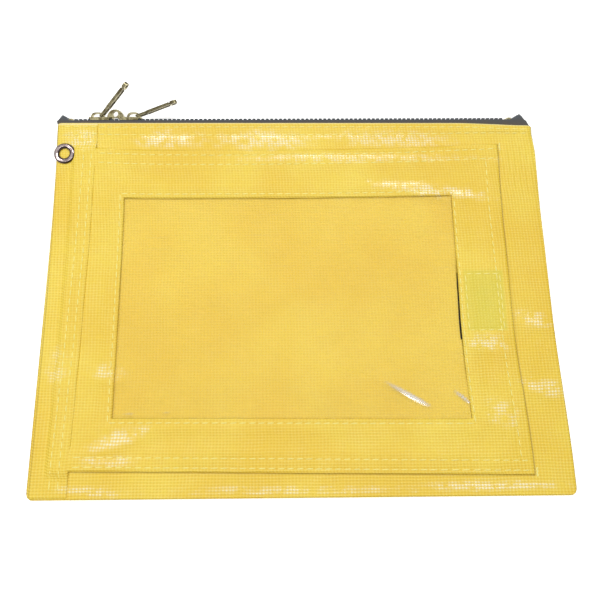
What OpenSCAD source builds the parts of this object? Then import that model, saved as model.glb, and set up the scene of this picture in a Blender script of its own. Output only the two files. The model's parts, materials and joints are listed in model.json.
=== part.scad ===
// Flat zip pouch for cash and paying-in slips, lying on its back.
// X runs along the zip, +Y points to the zip edge, +Z is up. The origin is the middle of the back's
// underside. Lengths are millimetres, angles are degrees.

/* [Bag] */
// Width from side seam to side seam
bag_width = 275; // [262:1:300]
// Depth of the back panel, from the bottom seam to the zip
bag_depth = 205; // [195:1:240]
// Thickness of the coated mesh fabric
fabric_t = 0.6; // [0.4:0.1:0.8]
// Clear height inside the bag at the zip edge
mouth_height = 8.6; // [8.2:0.1:9.5]
// How suddenly the front rises towards the zip, higher is later
rise_power = 3.5; // [2:0.5:5]
// Distance the front's hem stays behind the back's hem
hem_setback = 2.7; // [2:0.1:4]

/* [Window pocket] */
// Left end of the pocket panel, under the side strip
pocket_left = -124; // [-128:1:-120]
// Right free edge of the pocket panel, the mouth of the pocket
pocket_right = 114.5; // [112:0.5:118]
// Lower edge of the pocket panel
pocket_bottom = -91; // [-95:1:-85]
// Upper edge of the pocket panel
pocket_top = 84; // [80:1:86]
// Width of the window opening
window_width = 183; // [150:1:186]
// Height of the window opening
window_height = 120; // [90:1:124]
// Thickness of the clear film
film_t = 0.25; // [0.2:0.05:0.3]
// Width of the hook-and-loop patches
patch_width = 20; // [16:1:20]
// Length of the hook-and-loop patches
patch_length = 32; // [20:1:40]
// Right edge of the side strip that carries the eyelet
strip_right = -114.5; // [-118:0.5:-112]

/* [Zip] */
// Distance between neighbouring teeth of one row
tooth_pitch = 2.54; // [2.4:0.02:2.8]
// Height of the zip's centre line over the table
zip_height = 4.9; // [4.8:0.1:5.4]
// Lean of the zip back from upright
zip_lean = 20; // [15:1:25]
// Where the two sliders meet
meet_x = -104.5; // [-110:0.5:-95]
// Length of one slider's body
slider_length = 13.4; // [12:0.1:14]
// Width of one slider's body at its nose
slider_width = 7.8; // [7.6:0.1:8]
// Swing of the left pull tab away from the zip
left_tab_angle = 50; // [40:1:120]
// Swing of the right pull tab away from the zip
right_tab_angle = 20; // [5:1:60]
// Length of a pull tab from its cross bar to its tip
tab_length = 24.4; // [20:0.1:28]
// Width of a pull tab
tab_width = 4.2; // [4:0.1:5]

/* [Eyelet] */
// Outer diameter of the eyelet's flange
eyelet_outer_d = 12; // [11:0.5:12]
// Diameter of the eyelet's hole
eyelet_hole_d = 6; // [5:0.5:6.5]
// Distance of the eyelet's centre from the left side seam
eyelet_inset = 6.4; // [6.3:0.1:12]
// Distance of the eyelet's centre from the bottom seam
eyelet_y = 82.5; // [70:0.5:84]

/* [Hidden] */

$fn = 48;
half_w = bag_width / 2;
half_d = bag_depth / 2;
seam_gap = 0.05;
side_power = 200;
corner_r = 3;
hem_y = half_d - hem_setback;
yellow = [0.97, 0.84, 0.28];
thread_color = [0.93, 0.80, 0.30];
tape_color = [0.22, 0.25, 0.28];
metal_color = [0.72, 0.68, 0.52];

// Layers above the front panel
layer_gap = 0.08;
film_lift = layer_gap;
patch_t = 0.6;
pocket_lift = film_lift + film_t + layer_gap;
patch_bump = 2 * patch_t + 3 * layer_gap - pocket_lift;
bump_reach = 14;
strip_low = layer_gap;
strip_high = pocket_lift + fabric_t + layer_gap;
thread_w = 0.5;
thread_t = 0.2;
thread_lift = 0.3;
zip_row_1 = 2.5;
zip_row_2 = 6.6;

// Window opening
window_left = -96.5;
window_right = window_left + window_width;
window_bottom = -64;
window_top = window_bottom + window_height;
film_margin = 6.5;
film_right = window_right + 2.3;
patch_left = window_right + 3.4;
patch_x = patch_left + patch_width / 2;
patch_y = -3.4;

// Zip section, in the leaning plane: out is away from the bag, across is along the tape's width
tooth_thick = 2.4;
tooth_slot = 0.9;
tooth_reach = 3;
tape_t = 0.5;
tape_exit = 4.3;
zip_y = half_d + 1.4;
chain_left = -128.5;
chain_right = 121;
stop_length = 2;
tape_tuck = 12;
tape_half = half_w - 3;
plate_in = 1.4;
plate_out = 2.2;
ear_length = 3.5;
right_ear = 0.6;
turn_length = 1.8;
seam_slit = 0.05;

// Slider, crown and lock eye
nose_gap = 1.6;
inner_set = 1;
crown_back = 10.3;
crown_length = 7.6;
crown_height = 3.1;
crown_wall = 0.8;
crown_width = 2;
bar_r = 0.55;
bar_shift = 1.95;
bar_out = plate_out + 0.95;
eye_outer_r = 4.7;
eye_hole_r = 1.6;
eye_hole_out = 4.3;
eye_t = 1.3;

// Eyelet
barrel_wall = 0.4;
flange_t = 0.5;
eyelet_x = -half_w + eyelet_inset;

function clamp01(t) = max(0, min(1, t));
function ease(t) = let (c = clamp01(t)) c * c * (3 - 2 * c);

// Height of the front panel's underside, and of its face
function rise(y) = pow(clamp01((y + half_d) / bag_depth), rise_power);
function side(x) = sqrt(max(0, 1 - pow(min(1, abs(x) / half_w), side_power)));
function under_z(x, y) = fabric_t + seam_gap + mouth_height * rise(y) * side(x);
function face_z(x, y) = under_z(x, y) + fabric_t;

// How far the pocket panel stands off where the hook-and-loop patches lie under it
function bump(x, y) =
    ease((patch_width / 2 + bump_reach - abs(x - patch_x)) / bump_reach)
    * ease((patch_length / 2 + bump_reach - abs(y - patch_y)) / bump_reach);
function pocket_z(x, y) = face_z(x, y) + pocket_lift + patch_bump * bump(x, y);
function strip_z(x, y) =
    face_z(x, y) + strip_low + (strip_high - strip_low) * ease((x - pocket_left + 4) / 3);

function steps(a, b, n) = [for (i = [0 : n]) a + (b - a) * i / n];
// Stations that crowd towards both ends, for a panel whose sides turn down
function crowded(a, n) = [for (i = [0 : n]) a * sin(-90 + 180 * i / n)];

// Faces of a closed sheet whose lower and upper points are two grids of rows by columns
function grid_faces(rows, cols) = let (n = rows * cols) concat(
    [for (j = [0 : rows - 2], i = [0 : cols - 2])
        let (p = j * cols + i) [p, p + 1, p + cols + 1, p + cols]],
    [for (j = [0 : rows - 2], i = [0 : cols - 2])
        let (p = n + j * cols + i) [p, p + cols, p + cols + 1, p + 1]],
    [for (i = [0 : cols - 2]) [i + 1, i, n + i, n + i + 1]],
    [for (i = [0 : cols - 2]) let (p = (rows - 1) * cols + i) [p, p + 1, n + p + 1, n + p]],
    [for (j = [0 : rows - 2]) let (p = j * cols) [p, p + cols, n + p + cols, n + p]],
    [for (j = [0 : rows - 2])
        let (p = j * cols + cols - 1) [p + cols, p, n + p, n + p + cols]]
);

module sheet(low, high) {
    rows = len(low);
    cols = len(low[0]);
    points = concat(
        [for (row = low) for (p = row) p],
        [for (row = high) for (p = row) p]
    );
    polyhedron(points, grid_faces(rows, cols), convexity = 6);
}

// A flat piece laid on a height function, t thick
module laid(xs, ys, t, height) {
    sheet(
        [for (y = ys) [for (x = xs) [x, y, height(x, y)]]],
        [for (y = ys) [for (x = xs) [x, y, height(x, y) + t]]]
    );
}

// One run of sewing thread along X or along Y
module thread_x(x0, x1, y, height) {
    laid(steps(x0, x1, max(2, round((x1 - x0) / 16))),
        [y - thread_w / 2, y + thread_w / 2], thread_t, height);
}
module thread_y(x, y0, y1, height) {
    laid([x - thread_w / 2, x + thread_w / 2],
        steps(y0, y1, max(2, round((y1 - y0) / 12))), thread_t, height);
}

thread_on_face = function (x, y) face_z(x, y) + thread_lift;
thread_on_pocket = function (x, y) pocket_z(x, y) + fabric_t + thread_lift;
thread_on_hem = function (x, y) pocket_z(x, y) + fabric_t + 2 * thread_lift;
thread_on_strip = function (x, y) strip_z(x, y) + fabric_t + thread_lift;

// Moves children from the zip's own plane (X along, Y out, Z across) to the bag
module on_zip() {
    translate([0, zip_y, zip_height]) rotate([zip_lean, 0, 0]) children();
}
function zip_point(x, out, across) = [
    x,
    zip_y + out * cos(zip_lean) - across * sin(zip_lean),
    zip_height + out * sin(zip_lean) + across * cos(zip_lean)
];

// ---- Fabric panels ----

module back_panel() {
    color(yellow) linear_extrude(fabric_t) rounded_outline();
}
module rounded_outline() {
    union() {
        translate([-half_w + corner_r, -half_d]) square([bag_width - 2 * corner_r, bag_depth]);
        translate([-half_w, -half_d + corner_r]) square([bag_width, bag_depth - 2 * corner_r]);
        for (sx = [-1, 1], sy = [-1, 1])
            translate([sx * (half_w - corner_r), sy * (half_d - corner_r)]) circle(corner_r);
    }
}

module front_part(xs) {
    inner = (half_w - fabric_t) / half_w;
    ys = steps(-half_d, hem_y, 24);
    sheet(
        [for (y = ys) [for (x = xs) [x * inner, y, under_z(x, y)]]],
        [for (y = ys) [for (x = xs) [x, y, face_z(x, y)]]]
    );
}
// The face and its two turned-down edges, a hair apart
module front_panel() {
    edge_x = half_w - turn_length;
    turn = [for (a = steps(asin((edge_x + seam_slit) / half_w), 90, 5)) half_w * sin(a)];
    color(yellow) difference() {
        union() {
            front_part(crowded(edge_x, 32));
            front_part(turn);
            front_part([for (i = [len(turn) - 1 : -1 : 0]) -turn[i]]);
        }
        eyelet_cut();
    }
}

module side_strip() {
    xs = concat(steps(-half_w + 1.6, pocket_left - 4, 5), steps(pocket_left - 3, pocket_left - 1, 2),
        steps(pocket_left + 2, strip_right, 2));
    color(yellow) difference() {
        laid(xs, steps(-half_d + 0.6, hem_y - 1, 20), fabric_t, function (x, y) strip_z(x, y));
        eyelet_cut();
    }
}

module pocket_panel() {
    color(yellow) difference() {
        laid(steps(pocket_left, pocket_right, 40), steps(pocket_bottom, pocket_top, 26), fabric_t,
            function (x, y) pocket_z(x, y));
        translate([window_left, window_bottom, -1]) cube([window_width, window_height, 20]);
    }
}

module window_film() {
    color([0.9, 0.95, 1, 0.35])
        laid(steps(window_left - film_margin, film_right, 16),
            steps(window_bottom - film_margin, window_top + film_margin, 16), film_t,
            function (x, y) face_z(x, y) + film_lift);
}

module patch(lift) {
    laid(steps(patch_left, patch_left + patch_width, 3),
        steps(patch_y - patch_length / 2, patch_y + patch_length / 2, 5), patch_t,
        function (x, y) face_z(x, y) + lift);
}
module loop_patch() {
    color([0.86, 0.82, 0.30]) patch(layer_gap);
}
module hook_patch() {
    color([0.80, 0.78, 0.30]) patch(patch_t + 2 * layer_gap);
}

// ---- Zip ----

// Outward push and pinch of the tape ends where they are tucked in beyond the chain
function ear(x) = x < 0
    ? ease((chain_left - stop_length - x) / ear_length)
    : right_ear * ease((x - chain_right - stop_length) / ear_length);

module zip_tape(front) {
    s = front ? 1 : -1;
    xs = concat(steps(-tape_half, chain_left - stop_length, 4),
        steps(chain_left + 4, chain_right - 4, 15), steps(chain_right + stop_length, tape_half, 6));
    h = tape_t / 2;
    hem = front ? hem_y : half_d;
    function lay(x, y, k) = [x, y, front
        ? under_z(x, y) - seam_gap - h + k * h
        : fabric_t + seam_gap + h + k * h];
    function row(k, x) = [
        zip_point(x, k * s * h + 3.6 * ear(x), s * (tooth_reach + 0.04 - 2.2 * ear(x))),
        zip_point(x, k * s * h + 2.4 * ear(x), s * (3.6 - 1.9 * ear(x))),
        zip_point(x, k * s * h + 0.8 * ear(x), s * (tape_exit - 0.3 - ear(x))),
        lay(x, hem + (front ? -0.4 : 0.6), k),
        lay(x, hem - tape_tuck / 2, k),
        lay(x, hem - tape_tuck, k)
    ];
    color(tape_color) sheet(
        [for (j = [5 : -1 : 0]) [for (x = xs) row(-1, x)[j]]],
        [for (j = [5 : -1 : 0]) [for (x = xs) row(1, x)[j]]]
    );
}
module zip_tape_front() {
    zip_tape(true);
}
module zip_tape_back() {
    zip_tape(false);
}

// One moulded tooth, seen along the zip's outward direction, root at the tape
module tooth() {
    leg = 0.85;
    neck = 0.5;
    head = 0.75;
    linear_extrude(tooth_thick, center = true) polygon([
        [-leg, tooth_reach], [-leg, 2.1], [-neck, 1.7], [-head, 1], [-head + 0.2, tooth_slot / 2],
        [head - 0.2, tooth_slot / 2], [head, 1], [neck, 1.7], [leg, 2.1], [leg, tooth_reach]
    ]);
}
module tooth_row(front) {
    s = front ? 1 : -1;
    start = chain_left + 2 + (front ? 0 : tooth_pitch / 2);
    count = floor((chain_right - 2 - start) / tooth_pitch);
    color(tape_color) on_zip() for (i = [0 : count])
        translate([start + i * tooth_pitch, 0, 0]) scale([1, 1, s]) rotate([90, 0, 0]) tooth();
}
module zip_teeth_front() {
    tooth_row(true);
}
module zip_teeth_back() {
    tooth_row(false);
}

// A bent metal stop clamped over both rows at the end of the chain
module end_stop(x) {
    reach = tooth_reach + 0.3;
    color(metal_color) on_zip() translate([x, 0, 0]) difference() {
        translate([0, -plate_in, -reach]) cube([stop_length, 2 * plate_in, 2 * reach]);
        for (z = [tooth_reach, -reach - 1])
            translate([-1, -tape_t, z]) cube([stop_length + 2, 2 * tape_t, reach + 1 - tooth_reach]);
    }
}
module end_stop_left() {
    end_stop(chain_left - stop_length);
}
module end_stop_right() {
    end_stop(chain_right);
}

// ---- Sliders, drawn with the nose at X 0 pointing to +X ----

module slider_plate(w) {
    r = 1.6;
    union() {
        translate([-slider_length + r, -w + 0.25]) square([slider_length - 2 * r, 2 * w - 0.5]);
        translate([-slider_length, -w + 0.25 + r]) square([slider_length, 2 * w - 0.5 - 2 * r]);
        for (sy = [-1, 1]) {
            translate([-slider_length + r, sy * (w - 0.25 - r)]) circle(r);
            translate([-r, sy * (w - 0.25 - r)]) circle(r);
        }
        translate([-4.6, -w]) square([3.2, 2 * w]);
    }
}
module slab_out(out0, out1) {
    translate([0, out1, 0]) rotate([90, 0, 0]) linear_extrude(out1 - out0) children();
}
module slider_body(side_sign) {
    flange = slider_width / 2 - 0.55;
    union() {
        slab_out(plate_in, plate_out) slider_plate(slider_width / 2);
        slab_out(-plate_out, -plate_in) slider_plate(slider_width / 2 - inner_set);
        for (s = [-1, 1])
            translate([-slider_length + 1.4, 0.5, s > 0 ? flange : -flange - 0.3])
                cube([slider_length - 2.8, plate_in - 0.4, 0.3]);
        translate([-3.4, -plate_in - 0.1, -0.35]) cube([2.6, 2 * plate_in + 0.2, 0.7]);
        lock_eye(side_sign);
    }
}
// Half-round lug at the nose; the two lugs pass each other and share one hole
module lock_eye(side_sign) {
    across = side_sign > 0 ? 0.1 : -0.1 - eye_t;
    translate([nose_gap, 0, across]) difference() {
        union() {
            intersection() {
                translate([0, plate_out - 0.1, 0]) cylinder(r = eye_outer_r, h = eye_t);
                translate([-eye_outer_r, plate_out + 0.15, 0]) cube([2 * eye_outer_r, 10, eye_t]);
            }
            translate([-eye_outer_r, plate_out - 0.3, 0]) cube([eye_outer_r - nose_gap, 0.5, eye_t]);
        }
        translate([0, eye_hole_out, -1]) cylinder(r = eye_hole_r, h = eye_t + 2);
    }
}
module crown() {
    translate([-crown_back + nose_gap, plate_out, -crown_width / 2]) linear_extrude(crown_width)
        difference() {
            arch(crown_length / 2, crown_height);
            arch(crown_length / 2 - crown_wall, crown_height - crown_wall);
        }
}
module arch(half, height) {
    polygon([for (a = [0 : 10 : 180])
        [half * sign(cos(a)) * pow(abs(cos(a)), 0.7), height * pow(sin(a), 0.8)]]);
}

module place_left() {
    on_zip() translate([meet_x - nose_gap, 0, 0]) children();
}
module place_right() {
    on_zip() translate([meet_x + nose_gap, 0, 0]) mirror([1, 0, 0]) children();
}
module slider_left() {
    color(metal_color) place_left() slider_body(1);
}
module slider_right() {
    color(metal_color) place_right() slider_body(-1);
}
module slider_crown_left() {
    color(metal_color) place_left() crown();
}
module slider_crown_right() {
    color(metal_color) place_right() crown();
}

// Pull tab along +X from its cross bar; the slot lets it fold over the crown
module pull_tab() {
    half = tab_width / 2;
    slot_end = 6.2;
    slot_half = crown_width / 2 + 0.25;
    arm_t = 1.2;
    core_t = 0.9;
    rim_t = 1.5;
    rim_w = 0.7;
    notch_x = tab_length - 4.5;
    end_t = 1.8;
    difference() {
        union() {
            translate([0, 0, -half]) cylinder(r = bar_r, h = tab_width);
            for (s = [-1, 1]) translate([0, 0, s > 0 ? slot_half : -half]) {
                cylinder(r = arm_t / 2, h = half - slot_half);
                translate([0, -arm_t / 2, 0]) cube([slot_end, arm_t, half - slot_half]);
            }
            translate([slot_end, -core_t / 2, -half]) cube([notch_x - slot_end, core_t, tab_width]);
            for (s = [-1, 1]) translate([slot_end, -rim_t / 2, s > 0 ? half - rim_w : -half])
                cube([notch_x - slot_end, rim_t, rim_w]);
            translate([slot_end, -rim_t / 2, -half]) cube([rim_w, rim_t, tab_width]);
            translate([notch_x - 0.1, -core_t / 2, -half + 0.6]) cube([0.9, core_t, tab_width - 1.2]);
            translate([notch_x + 0.7, -end_t / 2, -half])
                cube([tab_length - half - notch_x - 0.7, end_t, tab_width]);
            translate([tab_length - half, end_t / 2, 0]) rotate([90, 0, 0])
                cylinder(r = half, h = end_t);
        }
        translate([tab_length - half, 2, 0]) rotate([90, 0, 0]) cylinder(r = 1.1, h = 4);
    }
}
module pull_tab_left() {
    color(metal_color) on_zip()
        translate([meet_x - crown_back + bar_shift, bar_out, 0]) rotate([0, 0, left_tab_angle]) pull_tab();
}
module pull_tab_right() {
    color(metal_color) on_zip()
        translate([meet_x + crown_back + bar_shift, bar_out, 0]) rotate([0, 0, right_tab_angle]) pull_tab();
}

// ---- Eyelet ----

function slope_y(x, y) = atan((face_z(x, y + 1) - face_z(x, y - 1)) / 2);
module on_eyelet() {
    translate([eyelet_x, eyelet_y, strip_z(eyelet_x, eyelet_y) + fabric_t])
        rotate([slope_y(eyelet_x, eyelet_y), 0, 0]) children();
}
module eyelet_cut() {
    on_eyelet() translate([0, 0, -10]) cylinder(d = eyelet_hole_d + 2 * barrel_wall + 0.3, h = 20);
}
module eyelet() {
    crown_r = (eyelet_outer_d - eyelet_hole_d) / 4;
    color([0.68, 0.66, 0.66]) on_eyelet() union() {
        translate([0, 0, 0.15]) rotate_extrude($fn = 64) intersection() {
            translate([eyelet_hole_d / 2 + crown_r, -0.35]) circle(crown_r);
            translate([0, 0]) square([eyelet_outer_d, crown_r]);
        }
        translate([0, 0, -2]) difference() {
            cylinder(d = eyelet_hole_d + 2 * barrel_wall, h = 2.6);
            translate([0, 0, -1]) cylinder(d = eyelet_hole_d, h = 5);
        }
    }
}
module eyelet_washer() {
    color([0.68, 0.66, 0.66]) on_eyelet() translate([0, 0, -2.0]) difference() {
        cylinder(d = eyelet_outer_d - 2, h = flange_t);
        translate([0, 0, -1]) cylinder(d = eyelet_hole_d + 2 * barrel_wall, h = 3);
    }
}

// ---- Stitching ----

module zip_stitching_front() {
    color(thread_color) for (y = [hem_y - zip_row_1, hem_y - zip_row_2]) {
        thread_x(-half_w + 5, strip_right - 0.5, y, thread_on_strip);
        thread_x(strip_right + 0.5, half_w - 5, y, thread_on_face);
    }
}
module zip_stitching_back() {
    color(thread_color) for (y = [half_d - zip_row_1, half_d - zip_row_2])
        translate([-tape_half, y - thread_w / 2, fabric_t + seam_gap + tape_t + layer_gap])
            cube([2 * tape_half, thread_w, thread_t]);
}
module side_strip_stitching() {
    color(thread_color) for (x = [strip_right - 2.3, strip_right - 9.1])
        thread_y(x, -half_d + 3, hem_y - 10, thread_on_strip);
}
module pocket_stitching() {
    color(thread_color) for (y = [pocket_top - 2.9, pocket_top - 8.4, pocket_bottom + 2.2, pocket_bottom + 7])
        thread_x(strip_right + 1, pocket_right - 2, y, thread_on_pocket);
}
module pocket_hem_stitching() {
    color(thread_color) thread_y(pocket_right - 6.2, pocket_bottom + 8, pocket_top - 9, thread_on_hem);
}
module window_stitching() {
    out = 2.4;
    color(thread_color) union() {
        for (x = [window_left - out, window_right + 1.2])
            thread_y(x, window_bottom - out + 1, window_top + out - 1, thread_on_pocket);
        for (y = [window_bottom - out, window_top + out])
            thread_x(window_left - out, window_right + 1, y, thread_on_pocket);
    }
}
module patch_stitching() {
    m = 0.6;
    x0 = patch_left + m;
    x1 = patch_left + patch_width - m;
    y0 = patch_y - patch_length / 2 + m;
    y1 = patch_y + patch_length / 2 - m;
    color(thread_color) {
        for (x = [x0, x1]) thread_y(x, y0 + 1, y1 - 1, thread_on_pocket);
        for (y = [y0, y1]) thread_x(x0, x1, y, thread_on_pocket);
    }
}
module bar_tacks() {
    color(thread_color) for (y = [pocket_bottom + 1, pocket_top - 1])
        laid([pocket_right + 0.6, pocket_right + 2.6], [y - 2, y + 2], thread_t * 2, thread_on_face);
}

back_panel();
front_panel();
side_strip();
pocket_panel();
window_film();
loop_patch();
hook_patch();
zip_tape_front();
zip_tape_back();
zip_teeth_front();
zip_teeth_back();
end_stop_left();
end_stop_right();
slider_left();
slider_right();
slider_crown_left();
slider_crown_right();
pull_tab_left();
pull_tab_right();
eyelet();
eyelet_washer();
zip_stitching_front();
zip_stitching_back();
side_strip_stitching();
pocket_stitching();
pocket_hem_stitching();
window_stitching();
patch_stitching();
bar_tacks();
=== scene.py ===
import json
import math
import random

import bmesh
import bpy
from mathutils import Matrix, Vector, noise


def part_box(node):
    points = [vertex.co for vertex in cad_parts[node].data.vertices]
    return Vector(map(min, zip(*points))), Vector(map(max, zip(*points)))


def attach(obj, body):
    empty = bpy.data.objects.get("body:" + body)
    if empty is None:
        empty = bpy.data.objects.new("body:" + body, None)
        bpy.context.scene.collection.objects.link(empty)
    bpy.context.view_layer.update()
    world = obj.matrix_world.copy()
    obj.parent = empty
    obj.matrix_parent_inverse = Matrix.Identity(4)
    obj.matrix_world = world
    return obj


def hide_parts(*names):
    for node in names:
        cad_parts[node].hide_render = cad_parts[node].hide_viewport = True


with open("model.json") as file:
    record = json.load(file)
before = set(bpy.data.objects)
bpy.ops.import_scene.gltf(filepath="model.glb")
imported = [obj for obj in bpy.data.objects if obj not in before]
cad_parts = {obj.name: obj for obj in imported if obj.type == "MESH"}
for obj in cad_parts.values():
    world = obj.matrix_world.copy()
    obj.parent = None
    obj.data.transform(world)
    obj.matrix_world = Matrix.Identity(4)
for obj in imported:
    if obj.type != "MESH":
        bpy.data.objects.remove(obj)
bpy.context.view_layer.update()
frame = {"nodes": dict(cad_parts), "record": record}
print("frame loaded,", len(frame["nodes"]), "nodes")

mm = 0.001
scene = bpy.context.scene
scene.view_settings.view_transform = "Standard"
random.seed(7)


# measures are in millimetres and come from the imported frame
def boxOf(node):
    low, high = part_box(node)
    return low / mm, high / mm


backHigh = boxOf("back_panel")[1]
frontHigh = boxOf("front_panel")[1]
pocketLow, pocketHigh = boxOf("pocket_panel")
stripLow, stripHigh = boxOf("side_strip")
patchLow, patchHigh = boxOf("loop_patch")
filmLow, filmHigh = boxOf("window_film")
seamLow, seamHigh = boxOf("window_stitching")
stopLeftHigh = boxOf("end_stop_left")[1]
stopRightHigh = boxOf("end_stop_right")[1]
eyeletLow, eyeletHigh = boxOf("eyelet")

bag = {
    "halfW": backHigh.x,
    "halfD": backHigh.y,
    "hemY": frontHigh.y,
    "clothT": 0.6,  # coated cloth
    "gap": 0.05,
    "riseBy": 3.5,  # how suddenly the front rises towards the zip
    "turnBy": 200,  # how sharply the front turns down at its sides
    "wave": 0.55,  # height of the soft waves in the front
    "step": 2.0,  # distance between grid lines
}
halfW, halfD, hemY = bag["halfW"], bag["halfD"], bag["hemY"]
clothT = bag["clothT"]
window = {
    "left": seamLow.x + 2.4,
    "right": seamHigh.x - 1.45,
    "bottom": seamLow.y + 2.65,
    "top": seamHigh.y - 2.65,
}
eyeletMid = (eyeletLow + eyeletHigh) / 2


def clamp(t, low=0.0, high=1.0):
    return max(low, min(high, t))


def ease(t):
    t = clamp(t)
    return t * t * (3 - 2 * t)


def riseAt(y):
    return clamp((y + halfD) / (2 * halfD)) ** bag["riseBy"]


mouth = (frontHigh.z - 2 * clothT - bag["gap"]) / riseAt(hemY)


def sideAt(x):
    return math.sqrt(max(0.0, 1 - min(1.0, abs(x) / halfW) ** bag["turnBy"]))


threadHalf = 0.25


def ends(node):  # the middles of the outermost rows of a node's thread
    low, high = boxOf(node)
    return low.x + threadHalf, high.x - threadHalf, low.y + threadHalf, high.y - threadHalf


zipX0, zipX1, zipY0, zipY1 = ends("zip_stitching_front")
backX0, backX1, backY0, backY1 = ends("zip_stitching_back")
sewX0, sewX1, sewY0, sewY1 = ends("side_strip_stitching")
pockX0, pockX1, pockY0, pockY1 = ends("pocket_stitching")
hemX0, hemX1, hemY0, hemY1 = ends("pocket_hem_stitching")
winX0, winX1, winY0, winY1 = ends("window_stitching")
padX0, padX1, padY0, padY1 = ends("patch_stitching")
tackX0, tackX1, tackY0, tackY1 = ends("bar_tacks")

rows = {  # where each layer is sewn: start and end of every row
    "face": [((zipX0 - 1, zipY1), (zipX1 + 1, zipY1)), ((zipX0 - 1, zipY0), (zipX1 + 1, zipY0))],
    "strip": [((sewX1 - 2.4, sewY0), (sewX1 + 0.2, sewY1 + 6)),
        ((sewX0 - 0.6, sewY0), (sewX0 + 2.8, sewY1 + 6))],
    "pocket": [((pockX0, y), (pocketHigh.x - 2, y)) for y in (pockY1, pockY1 - 5.5, pockY0 + 4.8, pockY0)],
    "hem": [((hemX0, hemY0), (hemX0 - 1.2, hemY1))],
    "window": [((winX0, winY0), (winX0, winY1)), ((winX1, winY0), (winX1, winY1)),
        ((winX0, winY0), (winX1, winY0)), ((winX0, winY1), (winX1, winY1))],
    "patch": [((padX0, padY0), (padX0, padY1)), ((padX1, padY0), (padX1, padY1)),
        ((padX0, padY0), (padX1, padY0)), ((padX0, padY1), (padX1, padY1))],
}
dent = {"deep": 0.2, "wide": 1.1}  # how far the thread pulls the cloth in


def dentAt(x, y, *layers):
    pulled = 0.0
    for layer in layers:
        for (x0, y0), (x1, y1) in rows[layer]:
            run = math.hypot(x1 - x0, y1 - y0)
            t = clamp(((x - x0) * (x1 - x0) + (y - y0) * (y1 - y0)) / run ** 2)
            d = math.hypot(x - x0 - t * (x1 - x0), y - y0 - t * (y1 - y0)) / dent["wide"]
            if d < 2.5:
                pucker = 0.75 + 0.8 * noise.noise(Vector((x / 3.1, y / 3.1, 6.6)))
                pulled = max(pulled, pucker * dent["deep"] * math.exp(-d * d))
    return pulled


shines = {  # places that handling has polished, glossier and with pale glints painted on the threads: middle, half size, turn, how much, height of the fold
    "topLeft": (-72, 90.5, 18, 5.5, 0, 1.0, 0),
    "topMiddle": (-20, 90.5, 28, 5.5, 0, 0.9, 0.1),
    "topRight": (56, 91, 36, 5, -2, 0.7, 0.15),
    "cornerTop": (-122, 91, 9, 6, 0, 0.7, 0.1),
    "pocketTop": (76, 60.5, 34, 3.4, -7, 1.0, 0.4),
    "rowTop": (30, 79, 70, 2.4, 0, 0.6, 0.15),
    "belowPatch": (100, -26, 11, 4.5, -8, 0.9, 0.6),
    "pocketLow": (104, -62, 10, 6, -30, 0.6, 0.5),
    "pocketCorner": (-92, -73, 16, 3.6, 17, 1.0, 0.65),
    "pocketFoot": (-95, -84.5, 15, 3.0, 0, 0.7, 0.3),
    "pocketSide": (-101, -40, 9, 4.5, 0, 0.6, 0.5),
    "stripSide": (-127, -36, 6, 9, 0, 0.5, 0.4),
    "sideUpper": (127, -13, 11, 4, -14, 1.0, 0.65),
    "sideLower": (127, -49, 11, 3.8, -10, 0.9, 0.6),
    "footRight": (97, -98, 36, 2.2, 0, 0.9, 0),
    "footMiddle": (0, -99.5, 70, 1.6, 0, 0.7, 0),
    "footLeft": (-104, -99, 18, 2.0, -4, 0.8, 0),
}


def within(shine, px, py):  # where a point is in a polished place, in its own half sizes
    cx, cy, halfX, halfY, turn = shine[:5]
    c, n = math.cos(math.radians(turn)), math.sin(math.radians(turn))
    return ((px - cx) * c + (py - cy) * n) / halfX, ((py - cy) * c - (px - cx) * n) / halfY


def foldAt(x, y):
    px, py = lieAt(x, y)
    lift = 0.0
    for shine in shines.values():
        u, v = within(shine, px, py)
        if shine[6] and abs(u) < 2.2 and abs(v) < 3.5:
            lift += shine[6] * math.exp(-u * u - ((v + 0.9) / 0.85) ** 2)
    return lift


def shineAt(x, y):
    px, py = lieAt(x, y)
    most = 0.0
    ragged = 0.45 * noise.noise(Vector((px / 5, py / 2.4, 9.4)))
    for shine in shines.values():
        u, v = within(shine, px, py)
        most = max(most, shine[5] * ease((1.25 - math.hypot(u, v) + ragged) / 0.8))
    return most


def beside(*edges):  # grid lines close to each side of a sewn row or an edge
    return [e + d for e in edges for d in (-1.1, -0.5, 0, 0.5, 1.1)]


def waveAt(x, y):
    edge = min(halfW - abs(x), y + halfD, hemY - y)
    calm = ease((math.hypot(x - eyeletMid.x, y - eyeletMid.y) - 9) / 14)
    slow = noise.noise(Vector((x / 50 + 3.1, y / 34 + 1.3, 0.7)))
    quick = noise.noise(Vector((x / 16, y / 19 + 5, 2.3)))
    return bag["wave"] * calm * ease((edge - 2) / 12) * (slow + 0.35 * quick) + foldAt(x, y) * ease(edge / 3)


def faceZ(x, y):  # the front's outer face
    lift = (mouth * riseAt(y) + waveAt(x, y)) * sideAt(x)
    return 2 * clothT + bag["gap"] + lift - dentAt(x, y, "face")


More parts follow.
